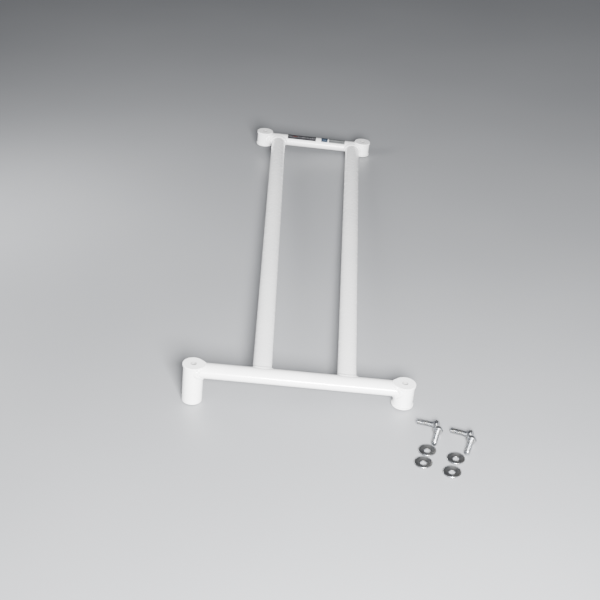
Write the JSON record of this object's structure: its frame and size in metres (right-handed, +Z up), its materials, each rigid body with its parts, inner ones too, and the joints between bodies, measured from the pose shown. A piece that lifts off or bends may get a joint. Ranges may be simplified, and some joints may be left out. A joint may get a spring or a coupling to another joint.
{
  "type": "chassis brace",
  "caption": "Four-point welded tubular ladder brace for a vehicle underbody, with capped upright bosses at its corners and loose fixing bolts and dished washers.",
  "frame": {"origin": "middle of the footprint of the brace with its loose hardware, on the ground plane it stands on", "axes": "+Z up from the ground; +Y along the brace from the wide front cross tube to the narrow rear one; +X to the right. The brace leans 4.7 degrees down to the right and 1.1 degrees down to the rear, as it stands on three of its bosses"},
  "size_m": [0.5414, 1.3786, 0.0828],
  "materials": {
    "white_gloss_coat": "gloss powder coat over welded tube",
    "zinc_bolt": "bright zinc plating",
    "zinc_washer": "zinc plating over pressed steel",
    "label_dark": "satin vinyl film",
    "label_blue": "gloss vinyl film",
    "label_grey": "metallised vinyl film"
  },
  "bodies": {
    "brace": {"front_cross_tube": "white_gloss_coat", "rear_cross_tube": "white_gloss_coat", "left_long_tube": "white_gloss_coat", "right_long_tube": "white_gloss_coat", "boss_sleeve_fl": "white_gloss_coat", "boss_sleeve_fr": "white_gloss_coat", "boss_sleeve_rl": "white_gloss_coat", "boss_sleeve_rr": "white_gloss_coat", "boss_cap_fl": "white_gloss_coat", "boss_cap_fr": "white_gloss_coat", "boss_cap_rl": "white_gloss_coat", "boss_cap_rr": "white_gloss_coat", "boss_ring_fr": "white_gloss_coat", "boss_ring_rl": "white_gloss_coat", "boss_ring_rr": "white_gloss_coat", "weld_left_front": "white_gloss_coat", "weld_right_front": "white_gloss_coat", "weld_left_rear": "white_gloss_coat", "weld_right_rear": "white_gloss_coat", "weld_boss_fl": "white_gloss_coat", "weld_boss_fr": "white_gloss_coat", "weld_boss_rl": "white_gloss_coat", "weld_boss_rr": "white_gloss_coat", "label_main": "label_dark", "label_seal": "label_blue", "label_data": "label_grey"},
    "bolt_1": {"bolt_1": "zinc_bolt"},
    "bolt_2": {"bolt_2": "zinc_bolt"},
    "bolt_3": {"bolt_3": "zinc_bolt"},
    "bolt_4": {"bolt_4": "zinc_bolt"},
    "washer_1": {"washer_1": "zinc_washer"},
    "washer_2": {"washer_2": "zinc_washer"},
    "washer_3": {"washer_3": "zinc_washer"},
    "washer_4": {"washer_4": "zinc_washer"}
  },
  "joints": [
    {"name": "bolt_1_lift", "type": "slide", "parent": "brace", "child": "bolt_1", "axis": [0, 0, 1], "range_m": [0, 0.1]},
    {"name": "bolt_2_lift", "type": "slide", "parent": "brace", "child": "bolt_2", "axis": [0, 0, 1], "range_m": [0, 0.1]},
    {"name": "bolt_3_lift", "type": "slide", "parent": "brace", "child": "bolt_3", "axis": [0, 0, 1], "range_m": [0, 0.1]},
    {"name": "bolt_4_lift", "type": "slide", "parent": "brace", "child": "bolt_4", "axis": [0, 0, 1], "range_m": [0, 0.1]},
    {"name": "washer_1_lift", "type": "slide", "parent": "brace", "child": "washer_1", "axis": [0, 0, 1], "range_m": [0, 0.1]},
    {"name": "washer_2_lift", "type": "slide", "parent": "brace", "child": "washer_2", "axis": [0, 0, 1], "range_m": [0, 0.1]},
    {"name": "washer_3_lift", "type": "slide", "parent": "brace", "child": "washer_3", "axis": [0, 0, 1], "range_m": [0, 0.1]},
    {"name": "washer_4_lift", "type": "slide", "parent": "brace", "child": "washer_4", "axis": [0, 0, 1], "range_m": [0, 0.1]}
  ]
}
